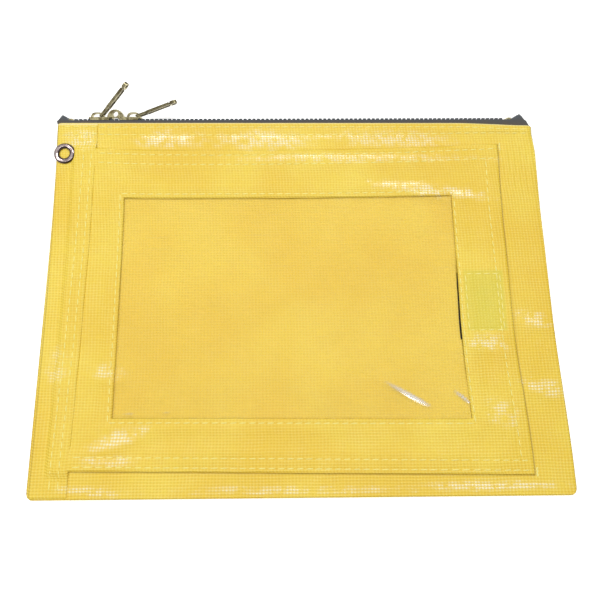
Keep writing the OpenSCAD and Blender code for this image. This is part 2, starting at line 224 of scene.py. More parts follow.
def lieAt(x, y):  # how the cut cloth really lies: its edges aren't dead straight
    right = ease((x - 60) / 40)
    flare = 4 * ease((-y - 10) / 80) - 0.8 * ease((y - 20) / 40)
    dx = right * flare * (1 - 0.5 * ease((x - 118) / 18))
    dx -= 1.8 * ease((y - 78) / 17) * ease((x - 105) / 32)
    dx += (0.0188 * y - 0.65) * ease((-100 - x) / 12) * ease((x + halfW) / 20)
    bow = 3.4 * clamp((x + 30) / 143) ** 2 + 1.8 * clamp((-60 - x) / 55) ** 2 * ease((x + 126) / 10)
    dy = bow * ease((y - 30) / 50) * (1 - ease((y - 88) / 9))
    dy -= 0.0157 * (x + 5) * ease((-y - 40) / 45) * (1 - ease((-y - 93) / 8))
    dy += (0.8 - 0.003 * x - 1.5 * ease((x - 90) / 45)) * ease((y - 90) / 9)
    return x + dx, y + dy


def place(x, y, z):
    px, py = lieAt(x, y)
    return Vector((px, py, z)) * mm


def lines(low, high, step, snaps=()):  # grid lines, with some at wanted places
    n = max(1, round((high - low) / step))
    wanted = sorted({low, high, *[s for s in snaps if low < s < high]})
    even = [low + (high - low) * i / n for i in range(n + 1)]
    kept = [e for e in even if min(abs(e - w) for w in wanted) > step * 0.45]
    return sorted(wanted + kept)


def crowd(edge, inward):  # grid lines that crowd towards a rolled edge
    return [edge + inward * d for d in (0, 0.15, 0.45, 0.9, 1.6)]


def gridMesh(xs, ys, put, marks=None):  # marks: named numbers for the material to read
    bm = bmesh.new()
    nx, ny = len(xs) - 1, len(ys) - 1
    bmesh.ops.create_grid(bm, x_segments=nx, y_segments=ny, size=0.5)
    layers = {name: bm.verts.layers.float.new(name) for name in marks or {}}
    for v in bm.verts:
        x, y = xs[round((v.co.x + 0.5) * nx)], ys[round((v.co.y + 0.5) * ny)]
        v.co = put(x, y)
        for name, layer in layers.items():
            v[layer] = marks[name](x, y)
    return bm


def finishPiece(bm, name, material, body, stands, thick=None):
    mesh = bpy.data.meshes.new(name)
    bm.to_mesh(mesh)
    bm.free()
    mesh.shade_smooth()
    mesh.materials.append(material)
    piece = bpy.data.objects.new(name, mesh)
    scene.collection.objects.link(piece)
    if thick:
        wall = piece.modifiers.new("thickness", "SOLIDIFY")
        wall.thickness = thick * mm
        wall.offset = -1
        wall.use_even_offset = False
    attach(piece, body)
    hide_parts(*stands)
    return piece


class Wire:
    def __init__(self, tree, socket=None):
        self.tree, self.socket = tree, socket

    def node(self, kind, settings=None, sockets=None, out=0):
        made = self.tree.nodes.new("ShaderNode" + kind)
        for key, value in (settings or {}).items():
            if key == "stops":
                while len(made.color_ramp.elements) < len(value):
                    made.color_ramp.elements.new(0.5)
                for element, (at, colour) in zip(made.color_ramp.elements, value):
                    element.position, element.color = at, colour
            else:
                setattr(made, key, value)
        for key, value in (sockets or {}).items():
            if isinstance(value, Wire):
                self.tree.links.new(value.socket, made.inputs[key])
            else:
                made.inputs[key].default_value = value
        return Wire(self.tree, made.outputs[out] if made.outputs else None)

    def maths(self, operation, *values, limit=False):
        settings = {"operation": operation, "use_clamp": limit}
        return self.node("Math", settings, dict(enumerate(values)))

    def __add__(self, other):
        return self.maths("ADD", self, other)

    def __radd__(self, other):
        return self.maths("ADD", other, self)

    def __sub__(self, other):
        return self.maths("SUBTRACT", self, other)

    def __rsub__(self, other):
        return self.maths("SUBTRACT", other, self)

    def __mul__(self, other):
        return self.maths("MULTIPLY", self, other)

    def __rmul__(self, other):
        return self.maths("MULTIPLY", other, self)

    def __pow__(self, other):
        return self.maths("POWER", self, other)

    def sine(self):
        return self.maths("SINE", self)

    def size(self):
        return self.maths("ABSOLUTE", self)

    def clip(self):
        return self.maths("ADD", self, 0.0, limit=True)

    def over(self, low, high):  # 0 below low, 1 above high, eased
        settings = {"interpolation_type": "SMOOTHSTEP"}
        return self.node("MapRange", settings, {0: self, 1: low, 2: high, 3: 0.0, 4: 1.0})


def marked(wire, name):
    return wire.node("Attribute", {"attribute_name": name}, out=2)


def newMaterial(name):
    material = bpy.data.materials.new(name)
    material.use_nodes = True
    material.node_tree.nodes.clear()
    return material, Wire(material.node_tree)


def mixColour(wire, factor, a, b):
    return wire.node("Mix", {"data_type": "RGBA"}, {0: factor, 6: a, 7: b}, out=2)


def linear(r, g, b):  # a display colour, 0 to 255, as a linear one
    def one(c):
        c /= 255
        return c / 12.92 if c <= 0.04045 else ((c + 0.055) / 1.055) ** 2.4

    return one(r), one(g), one(b), 1.0


def placeWires(wire):  # where a point is, in millimetres
    where = wire.node("TexCoord", out=3)
    x = wire.node("SeparateXYZ", None, {0: where}, out=0) * 1000
    y = wire.node("SeparateXYZ", None, {0: where}, out=1) * 1000
    z = wire.node("SeparateXYZ", None, {0: where}, out=2) * 1000
    return where, x, y, z


def noiseWire(wire, where, scale, detail=3.0, rough=0.5):
    sockets = {"Vector": where, "Scale": scale, "Detail": detail, "Roughness": rough}
    return wire.node("TexNoise", {"noise_dimensions": "3D"}, sockets, out=0)


weave = {
    "pitchX": 1.7,  # thread spacing of the coated mesh
    "pitchY": 1.5,
    "light": linear(247, 222, 74),
    "main": linear(241, 206, 52),
    "deep": linear(216, 162, 28),
    "paintedGlint": linear(252, 244, 205),  # painted highlight: pale glints on the crossings of the threads, where the coating is polished
    "rough": 0.46,
    "shine": 0.15,  # roughness where the coating is glossy
    "relief": 0.3,  # millimetres
}


def coatedMesh(name, lemon=False, gather=False):
    material, w = newMaterial(name)
    where, x, y, z = placeWires(w)
    sway = noiseWire(w, where, 40.0, 2.0)
    u = x + z * 0.9 + sway * 1.2
    v = y + z * 0.9 + sway * 0.9
    warp = (u * (math.pi / weave["pitchX"])).sine()
    weft = (v * (math.pi / weave["pitchY"])).sine()
    warpTop = 1 - (warp.size() ** 1.6)
    weftTop = 1 - (weft.size() ** 1.6)
    thread = warpTop.maths("MAXIMUM", warpTop * 0.75, weftTop)
    cross = warpTop * weftTop
    fine = noiseWire(w, where, 2600.0, 2.0)
    grain = noiseWire(w, where, 520.0, 3.0)
    pit = (1 - thread) ** 1.5
    large = noiseWire(w, where, 17.0, 3.0)
    patchy = noiseWire(w, where, 85.0, 4.0, 0.6)
    uneven = noiseWire(w, where, 240.0, 2.0)
    base = mixColour(w, large.over(0.35, 0.68), weave["main"], weave["light"])
    base = mixColour(w, (pit * (0.15 + uneven * 0.45) + (1 - grain) * 0.2).clip(), base, weave["deep"])
    base = mixColour(w, (cross * uneven * 0.55).clip(), base, linear(255, 240, 160))
    if lemon:  # the pile under the sewn patch shows through
        shows = (x - 100.2).size().over(11.6, 10.0) * (y + 2.6).size().over(17.4, 15.6)
        base = mixColour(w, shows * (0.15 + patchy * 0.7), base, linear(216, 206, 62))
    # painted light: lighter under the film, making up for the light the film holds back
    base = mixColour(w, marked(w, "fresh") * 0.35, base, linear(252, 226, 80))
    # painted shade: darker beside the pocket's edges, along the strip's outer edge and down the sides
    base = mixColour(w, marked(w, "grime") * 0.8, base, linear(132, 104, 34))
    # painted highlight along the rolled hems at the top edges
    base = mixColour(w, marked(w, "lip") * 0.7, base, linear(248, 236, 176))
    raised = 0.12 + cross * 1.9 + weftTop * 0.25  # painted highlight: pale glints on the raised threads, where the cloth is handled and glossy
    paintedGlint = (marked(w, "shine") * raised * uneven.over(0.34, 0.62) * 0.8).clip()
    base = mixColour(w, paintedGlint, base, weave["paintedGlint"])
    gloss = (patchy * 0.6 + large * 0.4).over(0.46, 0.6)
    gloss = (gloss * 0.3 + marked(w, "shine") * (0.55 + uneven * 0.8)).clip()
    rough = weave["rough"] - gloss * (weave["rough"] - weave["shine"]) + fine * 0.08
    height = thread * 0.7 + cross * 0.45 + grain * 0.25 + fine * 0.1
    if gather:  # cloth drawn in at the corner by the zip
        drawn = (x - 124.0).size().over(15.0, 4.0) * (y - 74.0).size().over(24.0, 4.0) * uneven
        height = height + (x * (2 * math.pi / 3.1) + sway * 14.0 + y * 0.06).sine() * drawn * 0.5
    bump = w.node("Bump", None, {"Strength": 0.8, "Distance": weave["relief"] * mm, "Height": height})
    shader = w.node("BsdfPrincipled", None, {
        "Base Color": base, "Roughness": rough, "Normal": bump, "IOR": 1.6,
        "Coat Weight": (marked(w, "shine") * (0.2 + cross * 1.5 + weftTop * 0.4) * uneven * 1.6).clip(),
        "Coat Roughness": 0.12,
    })
    w.node("OutputMaterial", None, {"Surface": shader})
    return material


def clearFilm(name):
    material, w = newMaterial(name)
    where, x, y, z = placeWires(w)
    smear = noiseWire(w, where, 60.0, 4.0)
    scuff = w.node("TexNoise", None, {
        "Vector": w.node("Mapping", None, {"Vector": where, "Scale": (30.0, 900.0, 30.0)}),
        "Scale": 1.0, "Detail": 2.0,
    })
    ripple = noiseWire(w, where, 26.0, 1.0)
    bump = w.node("Bump", None, {"Strength": 0.2, "Distance": 0.5 * mm, "Height": ripple})
    # the creases are painted white: partly stress-whitening of the vinyl, partly a painted highlight along
    # their ridges
    whiteningAndHighlight = marked(w, "crease")
    mirror = w.node("BsdfPrincipled", None, {
        "Base Color": (1.0, 0.99, 0.96, 1.0), "Metallic": 1.0 - whiteningAndHighlight,
        "Roughness": 0.09 + smear.over(0.5, 0.8) * 0.10 + whiteningAndHighlight * 0.15, "Normal": bump,
    })
    clear = w.node("BsdfTransparent", None, {"Color": (0.998, 0.99, 0.965, 1.0)})
    facing = w.node("Fresnel", None, {"IOR": 1.5})
    factor = (facing * 0.6 + scuff.over(0.62, 0.8) * 0.03 + whiteningAndHighlight * 0.85).clip()
    shown = w.node("MixShader", None, {0: factor, 1: clear, 2: mirror})
    # painted shadow in the gap at the window's right edge
    split = marked(w, "split").over(0.3, 0.6)
    dark = w.node("BsdfPrincipled", None, {"Base Color": linear(40, 30, 14), "Roughness": 0.8})
    shown = w.node("MixShader", None, {0: split, 1: shown, 2: dark})
    w.node("OutputMaterial", None, {"Surface": shown})
    return material


def wovenTape(name):
    material, w = newMaterial(name)
    where, x, y, z = placeWires(w)
    rib = (x * (math.pi / 0.55)).sine().size()
    cord = ((y + z) * (math.pi / 0.8)).sine().size()
    fibre = noiseWire(w, where, 1800.0, 3.0)
    worn = noiseWire(w, where, 120.0, 4.0)
    base = mixColour(w, (rib * 0.5 + fibre * 0.4).clip(), linear(40, 46, 52), linear(84, 92, 98))
    base = mixColour(w, worn.over(0.52, 0.7) * 0.4, base, linear(92, 84, 70))
    base = mixColour(w, marked(w, "low") * (0.35 + worn * 0.5), base, linear(84, 66, 40))
    bump = w.node("Bump", None, {
        "Strength": 0.6, "Distance": 0.12 * mm, "Height": rib * 0.6 + cord * 0.3 + fibre * 0.4,
    })
    shader = w.node("BsdfPrincipled", None, {
        "Base Color": base, "Roughness": 0.62 + fibre * 0.2, "Normal": bump,
        "Sheen Weight": 0.25,
    })
    w.node("OutputMaterial", None, {"Surface": shader})
    return material


def toothPlastic(name):
    material, w = newMaterial(name)
    where, x, y, z = placeWires(w)
    grain = noiseWire(w, where, 900.0, 3.0)
    base = mixColour(w, grain, linear(38, 44, 50), linear(78, 84, 90))
    bump = w.node("Bump", None, {"Strength": 0.3, "Distance": 0.05 * mm, "Height": grain})
    shader = w.node("BsdfPrincipled", None, {
        "Base Color": base, "Roughness": 0.32 + grain * 0.2, "Normal": bump,
    })
    w.node("OutputMaterial", None, {"Surface": shader})
    return material


def agedMetal(name, bright, dull, dark, rough, patinaAndShade=None):
    material, w = newMaterial(name)
    where, x, y, z = placeWires(w)
    tarnish = noiseWire(w, where, 420.0, 5.0, 0.6)
    specks = noiseWire(w, where, 1900.0, 3.0)
    base = mixColour(w, tarnish.over(0.4, 0.62), bright, dull)
    base = mixColour(w, specks.over(0.58, 0.72) * 0.7, base, dark)
    if patinaAndShade:  # darker where polishing doesn't reach; on the eyelet partly painted shade
        base = mixColour(w, patinaAndShade(w, where, x, y).clip() * 0.85, base, dark)
    bump = w.node("Bump", None, {
        "Strength": 0.35, "Distance": 0.05 * mm, "Height": tarnish * 0.6 + specks * 0.4,
    })
    shader = w.node("BsdfPrincipled", None, {
        "Base Color": base, "Metallic": 1 - specks.over(0.58, 0.72) * 0.35,
        "Roughness": rough + tarnish.over(0.4, 0.7) * 0.16, "Normal": bump,
    })
    w.node("OutputMaterial", None, {"Surface": shader})
    return material


def ringShadeAndPatina(w, where, x, y):  # patina with painted shade round the eyelet's rim and down its barrel
    r = ((x - eyeletMid.x) ** 2.0 + (y - eyeletMid.y) ** 2.0) ** 0.5
    return r.over(4.9, 5.7) + r.over(4.0, 3.3)


def groovePatina(pivotName, holeName):  # along the middle of a pull tab, between its bright rims
    joints = {j["name"]: j for j in frame["record"]["behaviour"]["joints"]}
    mounts = {m["name"]: m for m in frame["record"]["mounts"]}
    pivot, axis = Vector(joints[pivotName]["pos_m"]), Vector(joints[pivotName]["axis"])
    along = (Vector(mounts[holeName]["pos_m"]) - pivot).normalized()
    across = axis.cross(along).normalized()

    def patinaAndShade(w, where, x, y):
        away = w.node("VectorMath", {"operation": "SUBTRACT"}, {0: where, 1: tuple(pivot)})
        side = w.node("VectorMath", {"operation": "DOT_PRODUCT"}, {0: away, 1: tuple(across)}, out=1)
        up = w.node("VectorMath", {"operation": "DOT_PRODUCT"}, {0: away, 1: tuple(axis)}, out=1)
        middle = (side * 1000).size().over(1.1, 0.5)
        return middle * 0.55 + (up * 1000).over(-0.2, -0.7) * 0.3

    return patinaAndShade


def sewingThread(name, colour, shade):
    material, w = newMaterial(name)
    where, x, y, z = placeWires(w)
    twist = ((x + y) * (math.pi / 0.35)).sine().size()
    fibre = noiseWire(w, where, 1500.0, 2.0)
    base = mixColour(w, (twist * 0.5 + fibre * 0.4).clip(), shade, colour)
    bump = w.node("Bump", None, {"Strength": 0.4, "Distance": 0.06 * mm, "Height": twist})
    shader = w.node("BsdfPrincipled", None, {
        "Base Color": base, "Roughness": 0.4 + fibre * 0.15, "Normal": bump,
    })
    w.node("OutputMaterial", None, {"Surface": shader})
    return material


def pileFabric(name):
    material, w = newMaterial(name)
    where, x, y, z = placeWires(w)
    loops = w.node("TexVoronoi", None, {"Vector": where, "Scale": 1500.0})
    fuzz = noiseWire(w, where, 900.0, 4.0)
    base = mixColour(w, (loops * 0.6 + fuzz * 0.4).clip(), linear(168, 158, 40), linear(226, 216, 92))
    bump = w.node("Bump", None, {"Strength": 0.8, "Distance": 0.3 * mm, "Height": loops + fuzz * 0.5})
    shader = w.node("BsdfPrincipled", None, {
        "Base Color": base, "Roughness": 0.75 + fuzz * 0.2, "Normal": bump, "Sheen Weight": 0.5,
    })
    w.node("OutputMaterial", None, {"Surface": shader})
    return material


meshCloth = coatedMesh("coatedMesh", gather=True)
meshPocket = coatedMesh("coatedMeshPocket", lemon=True)
filmLook = clearFilm("clearFilm")
tapeLook = wovenTape("zipTape")
toothLook = toothPlastic("zipTeeth")
brass = (linear(206, 196, 152), linear(116, 106, 74), linear(44, 38, 26), 0.22)
leftGroove = groovePatina("left_tab_swing", "tab_hole_left")
rightGroove = groovePatina("right_tab_swing", "tab_hole_right")
tabLooks = {
    "pull_tab_left": agedMetal("agedBrassTabLeft", *brass, leftGroove),
    "pull_tab_right": agedMetal("agedBrassTabRight", *brass, rightGroove),
}
brassLook = agedMetal("agedBrass", *brass)
nickelLook = agedMetal("eyeletMetal", linear(222, 206, 204), linear(160, 142, 138), linear(58, 38, 34), 0.12,
    ringShadeAndPatina)
threadLook = sewingThread("thread", linear(255, 250, 170), linear(246, 224, 100))
pileLook = pileFabric("loopPile")
print("materials made")


def windowGap(x, y):  # distance outside the window opening
    dx = max(window["left"] - x, x - window["right"], 0)
    dy = max(window["bottom"] - y, y - window["top"], 0)
    return math.hypot(dx, dy)


def hemOfBack(x):  # the back's hem comes down to the front's at the corners
    return halfD - (halfD - hemY) * ease((abs(x) - halfW + 7) / 6)


# back and front are one folded shell, open at the zip
shell = {"backLift": 0.12, "seamZ": 0.45, "foldBulge": 0.5, "cornerR": 3.2, "rollHem": 0.45}


def roundCorner(x, y):
    r = shell["cornerR"]
    dx, dy = (abs(x) - halfW + r) / r, (-y - halfD + r) / r
    if dx <= 0 or dy <= 0:
        return x, y
    u, v = dx * math.sqrt(1 - dy * dy / 2), dy * math.sqrt(1 - dx * dx / 2)
    return math.copysign(halfW - r + r * u, x), -(halfD - r + r * v)


def buildShell():
    edge = [halfW * f for f in (0.984, 0.990, 0.994, 0.997, 0.999)]
    near = [pocketHigh.x + d for d in (-0.3, 0.2, 0.6, 1.0, 1.6)]
    xs = lines(-halfW, halfW, bag["step"], [-e for e in edge] + edge + near)
    level = beside(zipY0, zipY1) + [pocketLow.y - d for d in (-0.3, 0.2, 0.6, 1.0, 1.6)]
    level += [pocketHigh.y + d for d in (-0.3, 0.3, 0.8, 1.4)] + [hemY - d for d in (0.4, 0.8)]
    along = lines(0, hemY + halfD, bag["step"], [0.4, 1.0] + [y + halfD for y in level])
    span = hemY + halfD
    # one run from the back's hem round the bottom fold to the front's hem
    run = [("back", s) for s in reversed(along)] + [("fold", f) for f in (0.3, 0.7)] + [
        ("front", s) for s in along]

    def put(x, j):
        part, s = run[int(j)]
        seam = shell["seamZ"]
        if part == "back":
            y = -halfD + s * (hemOfBack(x) + halfD) / span
            z = shell["backLift"] + (seam - shell["backLift"]) * (abs(x) / halfW) ** 90
        elif part == "fold":
            y = -halfD - shell["foldBulge"] * sideAt(x) * math.sin(math.pi * s) / 0.81
            z = seam + (faceZ(x, -halfD) - seam) * s * sideAt(x) if abs(x) < halfW else seam
            z = shell["backLift"] * (1 - s) + z * s if abs(x) < halfW else seam
        else:
            y = -halfD + s
            roll = shell["rollHem"] * (1 - math.sqrt(1 - clamp(1 - (hemY - y) / 0.8) ** 2))
            z = seam + (faceZ(x, y) - roll - seam) * sideAt(x)
        x, y = roundCorner(x, y)
        return place(x, y, z)

    def grime(x, j):  # painted shade beside the pocket's edges and down the sides
        part, s = run[int(j)]
        y = s - halfD
        side = ease((abs(x) - halfW + 0.9) / 0.8) * 0.75
        if part != "front":
            return side
        level = pocketLow.y - 0.6 < y < pocketHigh.y + 0.6
        right = 0.6 * ease((0.9 - abs(x - pocketHigh.x - 0.1)) / 0.5) * level
        low = 0.25 * ease((0.8 - abs(y - pocketLow.y + 0.2)) / 0.5) * (x < pocketHigh.x + 0.6)
        top = 0.15 * ease((0.8 - abs(y - pocketHigh.y - 0.2)) / 0.5) * (x < pocketHigh.x + 0.6)
        return max(side, right, low * (x > -112), top * (x > -112))

    # painted highlight along the rolled hem at the front's top edge
    def lip(x, j):
        part, s = run[int(j)]
        return ease((s - halfD - hemY + 0.85) / 0.3) if part == "front" else 0.0

    def shine(x, j):
        part, s = run[int(j)]
        return shineAt(x, s - halfD) if part == "front" else 0.2 * shineAt(-x, s - halfD)

    def fresh(x, j):  # painted light: the cloth under the film is painted lighter, making up for the light the film holds back
        part, s = run[int(j)]
        return float(part == "front" and windowGap(x, s - halfD) < 0.5)

    marks = {"grime": grime, "lip": lip, "shine": shine, "fresh": fresh}
    bm = gridMesh(xs, list(range(len(run))), put, marks)
    bmesh.ops.remove_doubles(bm, verts=bm.verts, dist=0.01 * mm)
    bmesh.ops.recalc_face_normals(bm, faces=bm.faces)
    return finishPiece(bm, "bagShell", meshCloth, "bag", ["back_panel", "front_panel"],
        thick=0.45)


bagShell = buildShell()
print("shell made")

pocket = {
    "under": 0.41,  # the panel's underside over the face
    "hemExtra": 0.3,  # a folded hem is two layers
    "hemWide": 10.5,
    "windowHem": 7.0,
    "rollReach": 1.3,
    "roll": 0.85,
    "thick": 0.32,
    "bump": 1.0,  # how far the hook-and-loop tape lifts the panel
    "bumpReach": 14,
}


def patchBump(x, y):
    mid = (patchLow + patchHigh) / 2
    half = (patchHigh - patchLow) / 2
    r = pocket["bumpReach"]
    return ease((half.x + r - abs(x - mid.x)) / r) * ease((half.y + r - abs(y - mid.y)) / r)


def rollDrop(d, reach, drop):
    return drop * (1 - math.sqrt(1 - clamp(1 - d / reach) ** 2))


def pocketTop(x, y):
    outer = min(pocketHigh.x - x, y - pocketLow.y, pocketHigh.y - y)
    inner = windowGap(x, y)
    hem = max(1 - ease((outer - pocket["hemWide"]) / 1.6), 1 - ease((inner - pocket["windowHem"]) / 1.6))
    z = faceZ(x, y) + pocket["under"] + clothT + pocket["bump"] * patchBump(x, y)
    z += pocket["hemExtra"] * hem
    puff = noise.noise(Vector((x / 9, y / 9, 8.1))) * 0.18 * hem
    drop = rollDrop(min(outer, inner), pocket["rollReach"], pocket["roll"])
    return z + puff - drop - dentAt(x, y, "pocket", "hem", "window", "patch")


def buildPocket():
    wl, wr, wb, wt = window["left"], window["right"], window["bottom"], window["top"]
    xs = lines(pocketLow.x, pocketHigh.x, 1.9,
        crowd(wl, -1) + crowd(wr, 1) + crowd(pocketHigh.x, -1) + beside(winX0, winX1, padX0, padX1, hemX0))
    ys = lines(pocketLow.y, pocketHigh.y, 1.9,
        crowd(wb, -1) + crowd(wt, 1) + crowd(pocketHigh.y, -1) + crowd(pocketLow.y, 1)
        + beside(winY0, winY1, padY0, padY1, *[row[0][1] for row in rows["pocket"]]))
    bm = gridMesh(xs, ys, lambda x, y: Vector((x, y, 0)))
    inside = [f for f in bm.faces if windowGap(*f.calc_center_median()[:2]) == 0]
    bmesh.ops.delete(bm, geom=inside, context="FACES")
    shine = bm.verts.layers.float.new("shine")
    for v in bm.verts:
        v[shine] = shineAt(v.co.x, v.co.y)
        v.co = place(v.co.x, v.co.y, pocketTop(v.co.x, v.co.y))
    return finishPiece(bm, "pocketPanel", meshPocket, "bag", ["pocket_panel"],
        thick=pocket["thick"])


pocketPanel = buildPocket()
opening = (window["right"] - window["left"]) * (window["top"] - window["bottom"])

film = {"lift": 0.33, "bubble": 0.26, "thick": 0.2, "ridge": 0.45, "splitLow": -23.5, "splitHigh": 13.3}


crease = {  # the film's creases: start, end, half width
    "long": ((33.8, -39.6), (69.3, -59.4), 2.3),
    "short": ((76.4, -47.2), (89.2, -57.5), 1.5),
    "hem": ((-97.0, -61.3), (-84.0, -61.4), 0.9),
    "faint": ((-75.0, -60.2), (-66.0, -60.2), 0.8),
}


def creaseAt(x, y):
    most = 0.0
    for (x0, y0), (x1, y1), wide in crease.values():
        run = math.hypot(x1 - x0, y1 - y0)
        t = ((x - x0) * (x1 - x0) + (y - y0) * (y1 - y0)) / run ** 2
        d = abs((x - x0) * (y1 - y0) - (y - y0) * (x1 - x0)) / run / wide
        if 0 < t < 1 and d < 3:
            taper = math.sin(math.pi * t ** 1.7) ** 0.6 * (0.45 + 0.55 * t)
            narrow = 1 + 1.4 * t
            most = max(most, math.exp(-(d * narrow) ** 2) * taper * min(1.0, wide / 1.2))
    return most


def filmTop(x, y):
    inside = min(x - window["left"], window["right"] - x, y - window["bottom"], window["top"] - y)
    loose = ease(inside / 22)
    z = faceZ(x, y) + film["lift"]
    z += film["bubble"] * loose * (1 + noise.noise(Vector((x / 34, y / 26, 4.4))))
    px, py = lieAt(x, y)
    return z + film["ridge"] * creaseAt(px, py)


def buildFilm():
    xs = lines(filmLow.x, filmHigh.x, 1.1, [window["right"] - d for d in (1.0, 0.75, 0.5, 0.3, 0.1)])
    ys = lines(filmLow.y, filmHigh.y, 2.4, [filmLow.y + 0.8 * i for i in range(40)])

    def split(x, y):  # painted shadow: the film is painted dark here, where it is cut free of the hem so that a slip can go in
        low, high = film["splitLow"], film["splitHigh"]
        gone = clamp((high - y) / (high - low))
        wide = 0.35 + 0.45 * gone
        return float(low < y < high) * ease((x - window["right"] + wide) / 0.2)

    # the crease mark paints the creases white: partly stress-whitening, partly painted highlight
    marks = {"crease": lambda x, y: max(0.0, creaseAt(*lieAt(x, y)) * 1.5 - 0.45), "split": split}
    bm = gridMesh(xs, ys, lambda x, y: place(x, y, filmTop(x, y)), marks)
    return finishPiece(bm, "windowFilm", filmLook, "bag", ["window_film"], thick=film["thick"])


windowFilm = buildFilm()

strip = {"roll": 0.62, "rollReach": 1.3, "thick": 0.25, "low": -0.2, "high": 0.97}


def stripTop(x, y):
    step = ease((x - pocketLow.x + 4) / 3)  # up over the pocket panel, down beyond its ends
    step *= ease((pocketHigh.y + 3.5 - y) / 3.5) * ease((y - pocketLow.y + 3.5) / 3.5)
    over = strip["low"] + (strip["high"] - strip["low"]) * step
    d = min(stripHigh.x - x, x - stripLow.x, stripHigh.y - y, y - stripLow.y)
    roll = min(strip["roll"], over + clothT - strip["thick"] - 0.04)
    return faceZ(x, y) + over + clothT - rollDrop(d, strip["rollReach"], roll) - dentAt(x, y, "strip")


def buildStrip():
    xs = lines(stripLow.x, stripHigh.x, 0.9, crowd(stripHigh.x, -1) + crowd(stripLow.x, 1))
    ys = lines(stripLow.y, stripHigh.y, 1.9,
        crowd(stripHigh.y, -1) + crowd(stripLow.y, 1) + beside(zipY0, zipY1))
    marks = {
        # painted shade along the strip's outer edge
        "grime": lambda x, y: 0.5 * ease((stripLow.x + 0.8 - x) / 0.7),
        # painted highlight along the strip's rolled top edge
        "lip": lambda x, y: ease((y - stripHigh.y + 0.7) / 0.4),
        "shine": shineAt,
    }
    bm = gridMesh(xs, ys, lambda x, y: place(*roundCorner(x, y), stripTop(x, y)), marks)
    return finishPiece(bm, "sideStrip", meshCloth, "bag", ["side_strip"],
        thick=strip["thick"])


sideStrip = buildStrip()


def buildPatch(name, lift, node):
    xs = lines(patchLow.x, patchHigh.x, 1.5)
    ys = lines(patchLow.y, patchHigh.y, 1.5)

    def put(x, y):
        tuft = noise.noise(Vector((x * 2.1, y * 2.1, lift * 9))) * 0.12
        return place(x, y, faceZ(x, y) + lift + tuft)

    bm = gridMesh(xs, ys, put)
    piece = finishPiece(bm, name, pileLook, "bag", [node], thick=0.35)


buildPatch("loopPatch", 0.55, "loop_patch")
buildPatch("hookPatch", 1.15, "hook_patch")
print("layers made")

tape = {
    "lean": math.radians(20),
    "midY": halfD + 1.4,
    "midZ": 4.9,
    "thick": 0.45,
    "reach": 3.0,  # root of the teeth
    "tuck": 12,
    "end": halfW - 0.6,
}
ears = {  # the folded ends: start, length of the slope up, height, where it goes down again, and how fast
    "left": (stopLeftHigh.x, 5.9, 0.7, 134.6, 3),
    "right": (stopRightHigh.x - 0.4, 6, 0.74, 128.6, 5.5),
    "rightDown": 1.7,
}


def zipPoint(x, out, across):
    c, s = math.cos(tape["lean"]), math.sin(tape["lean"])
    return Vector((x, tape["midY"] + out * c - across * s, tape["midZ"] + out * s + across * c)) * mm


def earAt(x):  # the tape ends are folded up and tucked into the corners
    if x < 0:
        start, slope, high, fall, fallBy = ears["left"]
        return clamp((start - x) / slope) * (high - clamp((-x - fall) / fallBy))
    start, slope, high, fall, fallBy = ears["right"]
    return high * clamp((x - start) / slope) - ears["rightDown"] * clamp((x - fall) / fallBy)


def buildTape(front):
    side = 1 if front else -1
    leftSnaps = [-136.4, -135.8, -135, -134.4, -133, -132, -131, -129]  # extra grid lines where the ears bend
    rightSnaps = [122, 123.5, 125, 126.5, 128, 129, 130, 131.5, 133]
    xs = lines(-tape["end"], tape["end"], 2.0, leftSnaps + rightSnaps)
    levels = [0, 1, 2, 3, 4, 5, 6]

    def put(x, j):
        pulled = x - 3.4 * ease((x - 105) / 30)  # the corner by the right stop is drawn in
        e = earAt(pulled if x > 0 else x)
        up, down = max(0.0, e), min(0.0, e)
        if j < 3:
            out = ((5.2, 3.6, 1.4)[j] * up) + down * (5.2, 4.7, 4.2)[j]
            across = (tape["reach"] - 2.3 * up, 3.5 - 1.9 * up, 3.95 - 1.0 * up)[j] + down * 1.6
            return zipPoint(pulled, out, side * across)
        back = (0.0, 1.5, 6.0, tape["tuck"])[j - 3]
        if front:
            y = hemY - back
            return place(x, y, faceZ(x, y) - clothT - 0.3)
        return place(x, hemOfBack(x) + 0.3 - back, 0.95)

    marks = {"low": lambda x, j: (0.0, 0.0, 0.35, 1.0, 1.0, 1.0, 1.0)[int(j)]}
    bm = gridMesh(xs, levels[::-1] if front else levels, put, marks)
    bmesh.ops.recalc_face_normals(bm, faces=bm.faces)
    name, node = ("zipTapeFront", "zip_tape_front") if front else ("zipTapeBack", "zip_tape_back")
    piece = finishPiece(bm, name, tapeLook, "bag", [node], thick=tape["thick"])
    piece.modifiers["thickness"].offset = 0


buildTape(True)
buildTape(False)


def dress(nodes, look):
    for n in nodes:
        node = frame["nodes"][n]
        for slot in node.material_slots:
            slot.material = look
        if not node.material_slots:
            node.data.materials.append(look)


dress(["zip_teeth_front", "zip_teeth_back"], toothLook)
dress(["end_stop_left", "end_stop_right", "slider_left", "slider_right", "slider_crown_left",
    "slider_crown_right"], brassLook)
for name, tabLook in tabLooks.items():
    dress([name], tabLook)
dress(["eyelet", "eyelet_washer"], nickelLook)
print("zip made")

# each stitch is a short round dash lying on the cloth

stitch = {"pitch": 4.8, "length": 3.7, "width": 0.62, "height": 0.34, "skew": 4, "backZ": 0.12}


def addStitch(bm, a, b, width, height):
    middle, along = (a + b) / 2, b - a
    turn = along.to_track_quat("X", "Z").to_matrix().to_4x4()
    size = Matrix.Diagonal((along.length / 2, width / 2 * mm, height / 2 * mm, 1))
    bmesh.ops.create_uvsphere(bm, u_segments=6, v_segments=5, radius=1.0,
        matrix=Matrix.Translation(middle) @ turn @ size @ Matrix.Rotation(math.radians(90), 4, "Y"))


